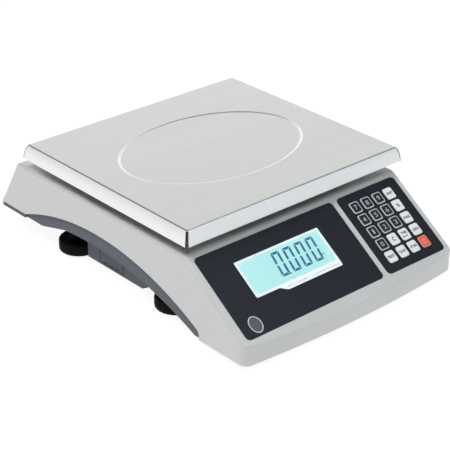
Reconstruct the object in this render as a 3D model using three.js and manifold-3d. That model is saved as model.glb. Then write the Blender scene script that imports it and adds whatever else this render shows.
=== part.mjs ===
// Counting scale: stainless platter on a single-point load cell, two-part moulded case with a
// sloped front panel (display on the left, twenty keys on the right) and four levelling feet.
// Millimetres. +Z up, +X to the operator's right, the operator stands on the -Y side.
// The origin is the centre of the footprint, on the surface that the feet stand on.
import * as THREE from 'three';
import { mergeVertices } from 'three/addons/utils/BufferGeometryUtils.js';
import Module from 'manifold-3d';

const wasm = await Module();
wasm.setup();

// ---------------------------------------------------------------- driving dimensions
const GAP = 0.3; // air left between neighbouring pieces
const WALL = 2.5; // moulded wall
const DEG = Math.PI / 180;

const BODY = { halfWidth: 147.5, front: -205.4, rear: 205.4, bowRadius: 1405, bottom: 6 };
const DECK_Z = 89.5; // flat roof of the case under the platter
const SLOPE = { angle: 34.5 * DEG, y: -113.8, z: 85.6 }; // panel plane; this point is the labels' top
const REAR_WALL = { topY: 170.4, bottomY: 205.4, bottomZ: 31.5 };
const EDGE = { deckFront: 13, deckRear: 6, side: 3.5, frontCorner: 9, rearCorner: 4 }; // radii
const ARCH = { y: 31, top: 57.5, radius: 330, frontY: -131.3, corner: 8 }; // cut in the cover's sides

const PLATTER = { y: 18.5, width: 289, depth: 260, top: 117.9, sheet: 1.2 };
const SKIRT = [[0, 0], [1.4, 0.8], [3.3, 4.6], [4.7, 9.4], [5.4, 13.2], [5.5, 15.6]]; // out, down
const CORNER_SLIT = { start: 1.2, end: 20, topHalf: 0.7, bottomHalf: 1.3, length: 12, out: 3.2 };
const OVAL = { halfX: 109.3, halfY: 76.8, slopeRun: 3, depth: 0.8, lip: 0.4, steps: 72 };

const LABEL = { height: 97, corner: 5, sheet: 0.7, recess: 1, left: -139.9, split: 47, right: 139.9 };
const RIB = 6.8; // bare case between the two labels
const WINDOW = { left: -101.8, right: 11.6, top: 19.5, bottom: 66.7, shelf: 61.6, stepX: -72, stepRun: 8.5 };
const LCD = { border: 2, front: 1.3, depth: 5 };
const LEVEL = { x: -121.4, down: 85, holeRadius: 7.5, radius: 6.8, top: 31, height: 10 };

const KEY = { width: 12.4, height: 13.4, corner: 2, proud: 0.35, thick: 1.55, travel: 0.4 };
const KEY_GRID = { x: 70.9, down: 16.4, pitchX: 16.85, pitchDown: 15.95, wellX: 9, wellDown: 9.5 };
const KEY_ROWS = [
  ['key_7', 'key_8', 'key_9', 'key_unit'],
  ['key_4', 'key_5', 'key_6', 'key_percent'],
  ['key_1', 'key_2', 'key_3', 'key_function'],
  ['key_0', 'key_clear', 'key_tare', 'key_zero'],
  ['key_print', 'key_count', 'key_store', 'key_power'],
];

const FOOT = {
  x: 116.4, frontY: -59.7, rearY: 104,
  wheelRadius: 22.5, wheelBottom: 2, wheelTop: 15, knurls: 28, knurlDepth: 0.9,
  hubRadius: 9, hubTop: 21, studRadius: 4, studTop: 44, padRadius: 17, padTop: 2.7,
};
const BOSS = { radius: 10, bottom: 23 };

const BASE = { apexY: 45, apexZ: 40.5, radius: 420, frontZ: 6, kneeY: 90, rearY: 132, rearZ: 27 };
const BELLY = { halfWidth: 126, rear: 75.7, front: -24.3, bottom: 5.2, chamferY: 8.8, chamferZ: 5 };
const DOOR = { yLow: 15, yHigh: 54.2, zLow: 8.5, zHigh: 28, thick: 2, pinRadius: 0.8, pinLength: 1.4 };
const BATTERY = { x: -84, length: 72, y: 34.6, width: 35, bottom: 8, height: 19 };
const JACK = { x: 80, z: 18, width: 9, height: 11, depth: 13, bore: 3.2, boreDepth: 9.5, pin: 1.05 };

const CHASSIS = { bottom: 46, top: 49, halfX: 128, frontY: -72, rearY: 118 };
const CHASSIS_HOLES = { radius: 18, x: [-80, 80], y: [-35, 80] };
const CELL = { length: 130, width: 30, bottom: 55.3, height: 22, blockLength: 30 };
const CELL_HOLES = { radius: 7.5, x: 12, slot: 4 }; // two bores joined by a slot, across the cell
const CARRIER = { bottom: 97, top: 101, padX: 102, padY: 82, margin: 11 };
const CARRIER_HOLES = { radius: 17, x: [-60, 0, 60], y: [-50, 50] };
const POST_HOLE = { marginX: 6, halfY: 22, corner: 4 }; // in the roof, round the cell's top block
const PAD_RADIUS = 9;
const MAIN_BOARD = { x: 120, y: 62, centreY: -106, bottom: 34, thick: 1.6 };
const SCREW = {
  x: 100, headRadius: 3.4, headHeight: 2, shankRadius: 1.5, bossRadius: 4.5, bossRoom: 5.2,
  front: { y: -195, floor: BASE.frontZ, length: 14, boreTop: 22 },
  rear: { y: 166, floor: BASE.rearZ, length: 16, boreTop: 48 },
};

// ---------------------------------------------------------------- solids
function solidOf(geometry) {
  const bare = geometry.clone();
  bare.deleteAttribute('normal');
  bare.deleteAttribute('uv');
  const merged = mergeVertices(bare, 1e-4);
  const corners = [];
  const index = merged.index.array;
  for (let i = 0; i < index.length; i += 3) {
    const [a, b, c] = index.slice(i, i + 3);
    if (a !== b && b !== c && c !== a) corners.push(a, b, c);
  }
  const vertProperties = new Float32Array(merged.attributes.position.array);
  return new wasm.Manifold(new wasm.Mesh({ numProp: 3, vertProperties, triVerts: new Uint32Array(corners) }));
}

function geometryOf(solid) {
  const mesh = solid.getMesh();
  const geometry = new THREE.BufferGeometry();
  geometry.setAttribute('position', new THREE.BufferAttribute(new Float32Array(mesh.vertProperties), 3));
  geometry.setIndex(new THREE.BufferAttribute(new Uint32Array(mesh.triVerts), 1));
  return geometry;
}

const join = (solids) => solids.reduce((a, b) => a.add(b));
const cut = (solid, cutters) => cutters.reduce((a, b) => a.subtract(b), solid);

// A closed outline with the given corner points, each rounded by its own radius.
function rounded(points, radii, steps = 6) {
  const outline = [];
  points.forEach((point, i) => {
    const radius = Array.isArray(radii) ? radii[i] : radii;
    const here = new THREE.Vector2(...point);
    if (!radius) {
      outline.push(here);
      return;
    }
    const before = new THREE.Vector2(...points[(i + points.length - 1) % points.length]).sub(here).normalize();
    const after = new THREE.Vector2(...points[(i + 1) % points.length]).sub(here).normalize();
    const half = Math.acos(THREE.MathUtils.clamp(before.dot(after), -1, 1)) / 2;
    const centre = before.clone().add(after).normalize().multiplyScalar(radius / Math.sin(half)).add(here);
    const start = before.clone().multiplyScalar(radius / Math.tan(half)).add(here).sub(centre);
    const end = after.clone().multiplyScalar(radius / Math.tan(half)).add(here).sub(centre);
    let sweep = end.angle() - start.angle();
    if (sweep > Math.PI) sweep -= 2 * Math.PI;
    if (sweep < -Math.PI) sweep += 2 * Math.PI;
    for (let k = 0; k <= steps; k += 1) {
      outline.push(start.clone().rotateAround(new THREE.Vector2(), (sweep * k) / steps).add(centre));
    }
  });
  return new THREE.Shape(outline);
}

function rectangle(xLow, xHigh, yLow, yHigh, radius = 0, steps = 4) {
  return rounded([[xLow, yLow], [xHigh, yLow], [xHigh, yHigh], [xLow, yHigh]], radius, steps);
}

const extruded = (shape, depth) => new THREE.ExtrudeGeometry(shape, { depth, bevelEnabled: false });

// An outline in X and Y, from zLow up to zHigh.
function alongZ(shape, zLow, zHigh) {
  return solidOf(extruded(shape, zHigh - zLow).translate(0, 0, zLow));
}

// An outline in Y and Z, from xLow to xHigh.
function alongX(shape, xLow, xHigh) {
  const turn = new THREE.Matrix4().set(0, 0, 1, xLow, 1, 0, 0, 0, 0, 1, 0, 0, 0, 0, 0, 1);
  return solidOf(extruded(shape, xHigh - xLow).applyMatrix4(turn));
}

// An outline in X and Z, from yLow to yHigh.
function alongY(shape, yLow, yHigh) {
  const turn = new THREE.Matrix4().set(1, 0, 0, 0, 0, 0, -1, yHigh, 0, 1, 0, 0, 0, 0, 0, 1);
  return solidOf(extruded(shape, yHigh - yLow).applyMatrix4(turn));
}

function box(xLow, xHigh, yLow, yHigh, zLow, zHigh) {
  return alongZ(rectangle(xLow, xHigh, yLow, yHigh), zLow, zHigh);
}

function cylinder(x, y, zLow, zHigh, radius, sides = 28) {
  const geometry = new THREE.CylinderGeometry(radius, radius, zHigh - zLow, sides);
  return solidOf(geometry.rotateX(Math.PI / 2).translate(x, y, (zLow + zHigh) / 2));
}

// The panel's own frame: X across, Y up the slope, Z out of it, origin at the labels' top edge.
const PANEL = new THREE.Matrix4().makeRotationX(SLOPE.angle).setPosition(0, SLOPE.y, SLOPE.z);
const panelSolid = (shape, low, high) =>
  solidOf(extruded(shape, high - low).translate(0, 0, low).applyMatrix4(PANEL));
const inPanel = (solid) => geometryOf(solid).applyMatrix4(PANEL.clone().invert());

// ---------------------------------------------------------------- the case's outer form
const frontBow = (x, inset) => {
  const radius = BODY.bowRadius - inset;
  return BODY.front + BODY.bowRadius - Math.sqrt(radius * radius - x * x);
};

function planOutline(inset) {
  const side = BODY.halfWidth - inset;
  const rear = BODY.rear - inset;
  const points = [[side, rear], [-side, rear]];
  const radii = [EDGE.rearCorner, EDGE.rearCorner];
  const steps = 14;
  for (let i = 0; i <= steps; i += 1) {
    const x = -side + (2 * side * i) / steps;
    points.push([x, frontBow(x, inset)]);
    radii.push(i === 0 || i === steps ? EDGE.frontCorner - inset : 0);
  }
  return rounded(points, radii, 6);
}

// Height of the panel plane at y, moved inwards by inset.
const slopeZ = (y, inset) =>
  SLOPE.z + (y - SLOPE.y) * Math.tan(SLOPE.angle) - inset / Math.cos(SLOPE.angle);
const slopeY = (z, inset) =>
  SLOPE.y + (z - SLOPE.z + inset / Math.cos(SLOPE.angle)) / Math.tan(SLOPE.angle);
const REAR_LEAN = Math.atan2(REAR_WALL.bottomY - REAR_WALL.topY, DECK_Z - REAR_WALL.bottomZ);
const rearY = (z, inset) =>
  REAR_WALL.bottomY - (z - REAR_WALL.bottomZ) * Math.tan(REAR_LEAN) - inset / Math.cos(REAR_LEAN);

function sideProfile(inset, floor) {
  const deck = DECK_Z - inset;
  const points = [[slopeY(floor, inset), floor], [rearY(floor, inset), floor],
    [rearY(deck, inset), deck], [slopeY(deck, inset), deck]];
  return rounded(points, [0, 0, EDGE.deckRear - inset, EDGE.deckFront - inset], 10);
}

// A long bar whose flat top is one plane of the case and whose two upper edges are rounded.
function roundedBar(inset) {
  const side = BODY.halfWidth - inset;
  const depth = -700;
  const points = [[-side, depth], [side, depth], [side, -inset], [-side, -inset]];
  return rounded(points, [0, 0, EDGE.side - inset, EDGE.side - inset], 8);
}

function caseForm(inset, floor) {
  const length = 1200;
  const bar = extruded(roundedBar(inset), length).translate(0, 0, -length / 2).rotateX(Math.PI / 2);
  const deck = solidOf(bar.clone().translate(0, 0, DECK_Z));
  const slope = solidOf(bar.clone().rotateX(SLOPE.angle).translate(0, SLOPE.y, SLOPE.z));
  const lean = Math.PI / 2 - REAR_LEAN;
  const rear = solidOf(bar.clone().rotateX(-lean).translate(0, REAR_WALL.bottomY, REAR_WALL.bottomZ));
  const plan = alongZ(planOutline(inset), floor, DECK_Z + 1);
  const profile = alongX(sideProfile(inset, floor), -BODY.halfWidth - 1, BODY.halfWidth + 1);
  return profile.intersect(plan).intersect(deck).intersect(slope).intersect(rear);
}

const archZ = (y) => ARCH.top - ARCH.radius + Math.sqrt(ARCH.radius ** 2 - (y - ARCH.y) ** 2);
const archEndY = ARCH.y + Math.sqrt(ARCH.radius ** 2 - (ARCH.radius - ARCH.top + REAR_WALL.bottomZ) ** 2);

// Everything below this outline is open in the cover's side and rear walls.
function archCutter() {
  const below = -20;
  const points = [[BODY.rear + 30, REAR_WALL.bottomZ], [archEndY, REAR_WALL.bottomZ]];
  const radii = [0, 0];
  const steps = 24;
  for (let i = 1; i <= steps; i += 1) {
    const y = archEndY + ((ARCH.frontY - archEndY) * i) / steps;
    points.push([y, archZ(y)]);
    radii.push(i === steps ? ARCH.corner : 0);
  }
  points.push([ARCH.frontY, below], [BODY.rear + 30, below]);
  radii.push(0, 0);
  return alongX(rounded(points, radii, 8), -BODY.halfWidth - 5, BODY.halfWidth + 5);
}

// ---------------------------------------------------------------- panel outlines
const rightLabelLeft = LABEL.split + RIB;
const labelOutline = (left, right, grow) =>
  rectangle(left - grow, right + grow, -LABEL.height - grow, grow, LABEL.corner + grow, 8);

function windowOutline(grow) {
  const { left, right, top, bottom, shelf, stepX, stepRun } = WINDOW;
  const points = [[left - grow, -shelf - grow], [stepX - grow * 0.7, -shelf - grow],
    [stepX + stepRun - grow * 0.7, -bottom - grow], [right + grow, -bottom - grow],
    [right + grow, -top + grow], [left - grow, -top + grow]];
  return rounded(points, [1.5, 3, 3, 1.5, 1.5, 1.5], 4);
}

const keyPlace = (column, row) => ({
  x: KEY_GRID.x + column * KEY_GRID.pitchX,
  y: -(KEY_GRID.down + row * KEY_GRID.pitchDown),
});
const keyOutline = (x, y, grow) => rectangle(x - KEY.width / 2 - grow, x + KEY.width / 2 + grow,
  y - KEY.height / 2 - grow, y + KEY.height / 2 + grow, KEY.corner + grow, 2);
const lcdOutline = (grow) => rectangle(WINDOW.left + LCD.border - grow, WINDOW.right - LCD.border + grow,
  -WINDOW.shelf + LCD.border - grow, -WINDOW.top - LCD.border + grow);
const keypadWell = (grow) => {
  const { x, down, pitchX, pitchDown, wellX, wellDown } = KEY_GRID;
  return rectangle(x - wellX - grow, x + 3 * pitchX + wellX + grow,
    -(down + 4 * pitchDown) - wellDown - grow, -down + wellDown + grow, 2);
};
const levelPoint = new THREE.Vector3(LEVEL.x, -LEVEL.down, 0).applyMatrix4(PANEL);
const levelShaft = (radius) => cylinder(levelPoint.x, levelPoint.y, 0, DECK_Z, radius, 40);

// ---------------------------------------------------------------- case pieces
const screwPlaces = () => ['front', 'rear'].flatMap((endName) =>
  [-1, 1].map((side) => ({
    name: `${endName}_${side < 0 ? 'left' : 'right'}`, x: side * SCREW.x, end: SCREW[endName],
  })));

function topCover() {
  const shell = caseForm(0, BODY.bottom).subtract(caseForm(WALL, BODY.bottom - 10));
  const screwBosses = [];
  for (const x of [-SCREW.x, SCREW.x]) {
    screwBosses.push(cylinder(x, SCREW.front.y, BODY.bottom + WALL + GAP, DECK_Z, SCREW.bossRadius, 20));
    screwBosses.push(cylinder(x, SCREW.rear.y, REAR_WALL.bottomZ, DECK_Z, SCREW.bossRadius, 20));
  }
  const bosses = join(screwBosses).intersect(caseForm(WALL - 0.5, BODY.bottom));
  const screwBores = screwPlaces().map(({ x, end }) =>
    cylinder(x, end.y, 0, end.boreTop, SCREW.shankRadius + GAP, 16));
  const recesses = [
    panelSolid(labelOutline(LABEL.left, LABEL.split, GAP), -LABEL.recess, 5),
    panelSolid(labelOutline(rightLabelLeft, LABEL.right, GAP), -LABEL.recess, 5),
    panelSolid(lcdOutline(0.6), -20, 5),
    panelSolid(keypadWell(0.5), -20, 5),
    levelShaft(LEVEL.holeRadius),
  ];
  const { marginX, halfY, corner } = POST_HOLE;
  const postHole = alongZ(rectangle(CELL.length / 2 - CELL.blockLength - marginX, CELL.length / 2 + marginX,
    PLATTER.y - halfY, PLATTER.y + halfY, corner), DECK_Z - 8, DECK_Z + 5);
  return cut(shell, [archCutter()]).add(bosses).subtract(join([...recesses, postHole, ...screwBores]));
}

const baseZ = (y) => BASE.apexZ - BASE.radius + Math.sqrt(BASE.radius ** 2 - (y - BASE.apexY) ** 2);
const baseFrontY = BASE.apexY - Math.sqrt(BASE.radius ** 2 - (BASE.radius - BASE.apexZ + BASE.frontZ) ** 2);

// The underside's line from front to rear, as points in Y and Z.
function undersideLine(rise) {
  const line = [[BODY.front, BASE.frontZ + rise]];
  const steps = 20;
  for (let i = 0; i <= steps; i += 1) {
    const y = baseFrontY + ((BASE.kneeY - baseFrontY) * i) / steps;
    line.push([y, baseZ(y) + rise]);
  }
  line.push([BASE.rearY, BASE.rearZ + rise], [BODY.rear, BASE.rearZ + rise]);
  return line;
}

function baseSideWalls() {
  const upper = [[BODY.rear, REAR_WALL.bottomZ + 6], [archEndY, REAR_WALL.bottomZ + 6]];
  for (let i = 1; i <= 12; i += 1) {
    const y = archEndY + ((ARCH.frontY - archEndY) * i) / 12;
    upper.push([y, archZ(y) + 6]);
  }
  upper.push([BODY.front, archZ(ARCH.frontY) + 6]);
  const wall = new THREE.Shape([...undersideLine(0), ...upper].map((p) => new THREE.Vector2(...p)));
  const outer = BODY.halfWidth - WALL - GAP;
  return join([alongX(wall, -outer, -outer + WALL), alongX(wall, outer - WALL, outer)]);
}

function bellyOutline(inset) {
  const { rear, front, bottom, chamferY, chamferZ } = BELLY;
  const points = [[front + inset, BASE.apexZ + 1], [front + inset, bottom + chamferZ + inset * 0.6],
    [front + chamferY + inset * 0.6, bottom + inset], [rear - inset, bottom + inset],
    [rear - inset, BASE.apexZ + 1]];
  return rounded(points, 0);
}

// The underside is a thin plate, so the belly's walls end inside its thickness.
function underBelly(solid, rise) {
  const roof = [...undersideLine(rise), [BODY.rear, -5], [BODY.front, -5]];
  return solid.intersect(alongX(new THREE.Shape(roof.map((p) => new THREE.Vector2(...p))), -200, 200));
}

function footPlaces() {
  return [['front_left', -FOOT.x, FOOT.frontY], ['front_right', FOOT.x, FOOT.frontY],
    ['rear_left', -FOOT.x, FOOT.rearY], ['rear_right', FOOT.x, FOOT.rearY]];
}

function boardPosts() {
  const posts = [];
  for (const sideX of [-1, 1]) {
    for (const sideY of [-1, 1]) {
      const x = sideX * (MAIN_BOARD.x / 2 - 6);
      const y = MAIN_BOARD.centreY + sideY * (MAIN_BOARD.y / 2 - 6);
      posts.push(cylinder(x, y, Math.max(BASE.frontZ, baseZ(y)) + 1, MAIN_BOARD.bottom - GAP, 3.5, 12));
    }
  }
  return posts;
}

function doorPins(grow) {
  const { yLow, yHigh, zHigh, thick, pinRadius, pinLength } = DOOR;
  const reach = GAP + pinLength + grow;
  const pin = new THREE.CylinderGeometry(pinRadius + grow, pinRadius + grow, yHigh - yLow + 2 * reach, 16);
  pin.translate(-BELLY.halfWidth + thick / 2, (yLow + yHigh) / 2, zHigh - GAP - thick / 2);
  return solidOf(pin);
}

const jackOutline = (grow) => rectangle(JACK.x - JACK.width / 2 - grow, JACK.x + JACK.width / 2 + grow,
  JACK.z - JACK.height / 2 - grow, JACK.z + JACK.height / 2 + grow, 1);

function baseShell() {
  const floorLine = [...undersideLine(0), ...undersideLine(WALL).reverse()];
  const floorShape = new THREE.Shape(floorLine.map((p) => new THREE.Vector2(...p)));
  const outer = BODY.halfWidth - WALL - GAP;
  const floor = alongX(floorShape, -outer, outer);
  const bellyOuter = alongX(bellyOutline(0), -BELLY.halfWidth, BELLY.halfWidth);
  const bellyInner = alongX(bellyOutline(WALL), -BELLY.halfWidth + WALL, BELLY.halfWidth - WALL);
  const footBosses = footPlaces().map(([, x, y]) =>
    cylinder(x, y, BOSS.bottom, CHASSIS.bottom - GAP, BOSS.radius, 32));
  const footBores = footPlaces().map(([, x, y]) =>
    cylinder(x, y, 0, CHASSIS.top, FOOT.studRadius + 0.5, 24));
  const rimPlan = alongZ(planOutline(0), BASE.rearZ, REAR_WALL.bottomZ - GAP);
  const rim = rimPlan.intersect(box(-160, 160, archEndY + 1, BODY.rear + 1, 0, 60));
  const screwHoles = screwPlaces().map(({ x, end }) =>
    cylinder(x, end.y, 0, end.floor + 30, SCREW.shankRadius + 0.5, 16));
  const bossClearance = screwPlaces().map(({ x, end }) =>
    cylinder(x, end.y, end.floor + WALL + 0.001, DECK_Z, SCREW.bossRoom, 20));
  const doorHole = box(-BELLY.halfWidth - 1, -BELLY.halfWidth + WALL + 1, DOOR.yLow, DOOR.yHigh,
    DOOR.zLow, DOOR.zHigh);
  const shell = join([floor, baseSideWalls(), underBelly(bellyOuter, WALL / 2)])
    .subtract(bellyInner)
    .add(join([...footBosses, ...boardPosts()]))
    .intersect(caseForm(WALL + GAP, BASE.frontZ));
  return cut(shell.add(rim), [...footBores, ...screwHoles, ...bossClearance, doorHole, doorPins(GAP),
    alongY(jackOutline(GAP), BELLY.rear - 5, BELLY.rear + 5)]);
}

function batteryDoor() {
  const { yLow, yHigh, zLow, zHigh, thick } = DOOR;
  const low = zLow + GAP;
  const high = zHigh - GAP;
  const outside = -BELLY.halfWidth;
  const section = rounded([[outside, low], [outside + thick, low], [outside + thick, high], [outside, high]],
    [0, 0, thick / 2 - 0.01, thick / 2 - 0.01], 6);
  const plate = alongY(section, yLow + GAP, yHigh - GAP);
  const slots = [];
  for (let i = 0; i < 3; i += 1) {
    const y = (yLow + yHigh) / 2 + (i - 1) * 10;
    slots.push(box(outside - 1, outside + 1, y - 3.5, y + 3.5, low + 1.2, low + 2.4));
  }
  return cut(plate, slots).add(doorPins(0));
}

// ---------------------------------------------------------------- platter and weighing parts
// A tray pressed from sheet: a stack of rectangles that grows outwards down the skirt.
function platterForm(inset) {
  const vertices = [];
  const rings = SKIRT.map(([out, down], i) => {
    const z = PLATTER.top - (i === 0 ? inset : down);
    const grow = out - inset;
    return { x: PLATTER.width / 2 + grow, y: PLATTER.depth / 2 + grow, z };
  });
  if (inset > 0) rings.push({ ...rings[rings.length - 1], z: rings[rings.length - 1].z - 5 });
  for (const ring of rings) {
    for (const [sx, sy] of [[-1, -1], [1, -1], [1, 1], [-1, 1]]) {
      vertices.push(sx * ring.x, PLATTER.y + sy * ring.y, ring.z);
    }
  }
  const faces = [0, 1, 2, 0, 2, 3];
  const last = (rings.length - 1) * 4;
  faces.push(last, last + 2, last + 1, last, last + 3, last + 2);
  for (let ring = 0; ring < rings.length - 1; ring += 1) {
    for (let k = 0; k < 4; k += 1) {
      const a = ring * 4 + k;
      const b = ring * 4 + ((k + 1) % 4);
      faces.push(a, a + 4, b, b, a + 4, b + 4);
    }
  }
  const geometry = new THREE.BufferGeometry();
  geometry.setAttribute('position', new THREE.BufferAttribute(new Float32Array(vertices), 3));
  geometry.setIndex(faces);
  return solidOf(geometry);
}

// The shallow oval pressed into the middle of the platter. It narrows from its lip to its flat floor.
function ovalPlate(shift) {
  const { halfX, halfY, slopeRun, depth, lip, steps } = OVAL;
  const low = PLATTER.top - depth + shift;
  const high = PLATTER.top + lip + shift;
  const vertices = [0, PLATTER.y, low, 0, PLATTER.y, high];
  const faces = [];
  for (let i = 0; i < steps; i += 1) {
    const angle = (2 * Math.PI * i) / steps;
    for (const z of [low, high]) {
      const grow = slopeRun * ((z - low) / depth - 0.5);
      vertices.push((halfX + grow) * Math.cos(angle), PLATTER.y + (halfY + grow) * Math.sin(angle), z);
    }
    const here = 2 + 2 * i;
    const next = 2 + 2 * ((i + 1) % steps);
    faces.push(0, next, here, 1, here + 1, next + 1, here, next, here + 1, next, next + 1, here + 1);
  }
  const geometry = new THREE.BufferGeometry();
  geometry.setAttribute('position', new THREE.BufferAttribute(new Float32Array(vertices), 3));
  geometry.setIndex(faces);
  return solidOf(geometry);
}

// Folded sheet: the skirts flare outwards and a narrow slit is left at each corner.
function platter() {
  const { start, end, topHalf, bottomHalf, length, out } = CORNER_SLIT;
  const cornerCuts = [];
  for (const [sx, sy] of [[-1, -1], [1, -1], [1, 1], [-1, 1]]) {
    const wedge = new THREE.Shape([new THREE.Vector2(-topHalf, -start), new THREE.Vector2(-bottomHalf, -end),
      new THREE.Vector2(bottomHalf, -end), new THREE.Vector2(topHalf, -start)]);
    const geometry = extruded(wedge, length).translate(0, 0, -length / 2).rotateX(Math.PI / 2)
      .rotateZ(Math.atan2(sy, sx) - Math.PI / 2);
    geometry.translate(sx * (PLATTER.width / 2 + out), PLATTER.y + sy * (PLATTER.depth / 2 + out), PLATTER.top);
    cornerCuts.push(solidOf(geometry));
  }
  const sheet = cut(platterForm(0), [platterForm(PLATTER.sheet), ...cornerCuts]);
  return sheet.add(ovalPlate(-PLATTER.sheet)).subtract(ovalPlate(0));
}

const padPlaces = [];
for (const sideY of [-1, 1]) {
  for (const sideX of [-1, 1]) {
    padPlaces.push([`platter_pad_${sideY < 0 ? 'front' : 'rear'}_${sideX < 0 ? 'left' : 'right'}`,
      sideX * CARRIER.padX, PLATTER.y + sideY * CARRIER.padY]);
  }
}

// A flat plate with lightening holes, two rows of three.
function carrier() {
  const { bottom, top, padX, padY, margin } = CARRIER;
  const plate = alongZ(rectangle(-padX - margin, padX + margin, PLATTER.y - padY - margin,
    PLATTER.y + padY + margin, margin, 6), bottom, top);
  const holes = [];
  for (const x of CARRIER_HOLES.x) {
    for (const y of CARRIER_HOLES.y) {
      holes.push(cylinder(x, PLATTER.y + y, bottom - 1, top + 1, CARRIER_HOLES.radius, 24));
    }
  }
  return cut(plate, holes);
}

function loadCell() {
  const half = CELL.length / 2;
  const middle = CELL.bottom + CELL.height / 2;
  const body = box(-half, half, PLATTER.y - CELL.width / 2, PLATTER.y + CELL.width / 2, CELL.bottom,
    CELL.bottom + CELL.height);
  const { radius, x: holeX, slot } = CELL_HOLES;
  const holes = [-holeX, holeX].map((x) =>
    solidOf(new THREE.CylinderGeometry(radius, radius, CELL.width + 4, 24).translate(x, PLATTER.y, middle)));
  holes.push(box(-holeX, holeX, PLATTER.y - CELL.width, PLATTER.y + CELL.width,
    middle - slot / 2, middle + slot / 2));
  return cut(body, holes);
}

function cellBlock(sign, bottom, top) {
  const inner = sign * (CELL.length / 2 - CELL.blockLength);
  const outer = sign * (CELL.length / 2);
  return box(Math.min(inner, outer), Math.max(inner, outer), PLATTER.y - CELL.width / 2,
    PLATTER.y + CELL.width / 2, bottom, top);
}

function chassis() {
  const { bottom, top, halfX, frontY, rearY: back } = CHASSIS;
  const plate = alongZ(rectangle(-halfX, halfX, frontY, back, 10), bottom, top);
  const holes = [];
  for (const x of CHASSIS_HOLES.x) {
    for (const y of CHASSIS_HOLES.y) {
      holes.push(cylinder(x, y, bottom - 1, top + 1, CHASSIS_HOLES.radius, 24));
    }
  }
  return cut(plate, holes);
}

// ---------------------------------------------------------------- feet
function footWheel(x, y) {
  const outline = [];
  const count = FOOT.knurls * 4;
  for (let i = 0; i < count; i += 1) {
    const radius = FOOT.wheelRadius - (i % 4 < 2 ? 0 : FOOT.knurlDepth);
    const angle = (2 * Math.PI * i) / count;
    outline.push(new THREE.Vector2(radius * Math.cos(angle), radius * Math.sin(angle)));
  }
  const rim = solidOf(extruded(new THREE.Shape(outline), FOOT.wheelTop - FOOT.wheelBottom)
    .translate(x, y, FOOT.wheelBottom));
  const hub = cylinder(x, y, FOOT.wheelTop - 1, FOOT.hubTop, FOOT.hubRadius);
  const padSeat = cylinder(x, y, 0, FOOT.padTop + GAP, FOOT.padRadius + GAP);
  const bore = cylinder(x, y, FOOT.padTop + 2, FOOT.hubTop + 1, FOOT.studRadius + GAP, 24);
  return cut(rim.add(hub), [padSeat, bore]);
}

// ---------------------------------------------------------------- small pieces
function dcJack() {
  const front = BELLY.rear;
  const body = alongY(jackOutline(0), front - JACK.depth, front);
  const turn = (radius, length) => solidOf(new THREE.CylinderGeometry(radius, radius, length, 20)
    .translate(JACK.x, front - length / 2, JACK.z));
  const pin = solidOf(new THREE.CylinderGeometry(JACK.pin, JACK.pin, JACK.boreDepth - 0.5, 12)
    .translate(JACK.x, front - JACK.boreDepth / 2 - 0.75, JACK.z));
  return body.subtract(turn(JACK.bore, JACK.boreDepth).add(turn(JACK.bore, JACK.boreDepth).translate(0, 1, 0)))
    .add(pin);
}

function caseScrew(x, { y, floor, length }) {
  const seat = floor - GAP;
  const head = cylinder(x, y, seat - SCREW.headHeight, seat, SCREW.headRadius, 20);
  const slot = box(x - 4, x + 4, y - 0.5, y + 0.5, floor - 5, seat - SCREW.headHeight + 0.8);
  const shank = cylinder(x, y, floor - 1, floor + length, SCREW.shankRadius, 14);
  return head.subtract(slot).add(shank);
}

// ---------------------------------------------------------------- materials
const material = (color, roughness, metalness, extra = {}) =>
  new THREE.MeshStandardMaterial({ color, roughness, metalness, ...extra });
const LOOKS = {
  greyCase: material(0xcdcdcb, 0.5, 0),
  baseGrey: material(0x6d717b, 0.55, 0),
  stainless: material(0xd2d3d0, 0.35, 0.9),
  slate: material(0x30343d, 0.45, 0),
  clear: material(0xe8f0f0, 0.1, 0, { transparent: true, opacity: 0.35 }),
  lcd: material(0xb8ecea, 0.3, 0),
  board: material(0x1f5a3a, 0.6, 0),
  blackKey: material(0x15161a, 0.4, 0),
  whiteKey: material(0xececec, 0.4, 0),
  powerKey: material(0xff5f4b, 0.4, 0),
  blackPlastic: material(0x121214, 0.5, 0),
  rubber: material(0x1c1c1c, 0.9, 0),
  aluminium: material(0xb9bcc0, 0.45, 0.9),
  steel: material(0x9a9da2, 0.4, 0.9),
  vial: material(0x9aa08a, 0.2, 0),
  battery: material(0x2b4a8c, 0.5, 0),
};

// ---------------------------------------------------------------- assembly
const scale = new THREE.Group();
function place(name, shape, look, parent = scale) {
  const geometry = shape instanceof THREE.BufferGeometry ? shape : geometryOf(shape);
  const mesh = new THREE.Mesh(geometry, look);
  mesh.name = name;
  parent.add(mesh);
  return mesh;
}

place('top_cover', topCover(), LOOKS.greyCase);
place('base_shell', baseShell(), LOOKS.baseGrey);
place('battery_door', batteryDoor(), LOOKS.baseGrey);
place('battery_pack', alongZ(rectangle(BATTERY.x - BATTERY.length / 2, BATTERY.x + BATTERY.length / 2,
  BATTERY.y - BATTERY.width / 2, BATTERY.y + BATTERY.width / 2, 4), BATTERY.bottom,
BATTERY.bottom + BATTERY.height), LOOKS.battery);
place('dc_jack', dcJack(), LOOKS.blackPlastic);

place('chassis_plate', chassis(), LOOKS.steel);
place('cell_base_block', cellBlock(-1, CHASSIS.top + GAP, CELL.bottom - GAP), LOOKS.aluminium);
place('load_cell', loadCell(), LOOKS.aluminium);
place('cell_top_block', cellBlock(1, CELL.bottom + CELL.height + GAP, CARRIER.bottom - GAP), LOOKS.aluminium);
place('platter_carrier', carrier(), LOOKS.aluminium);
for (const [name, x, y] of padPlaces) {
  place(name, cylinder(x, y, CARRIER.top + GAP, PLATTER.top - PLATTER.sheet - GAP, PAD_RADIUS), LOOKS.rubber);
}
place('platter', platter(), LOOKS.stainless);

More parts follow.
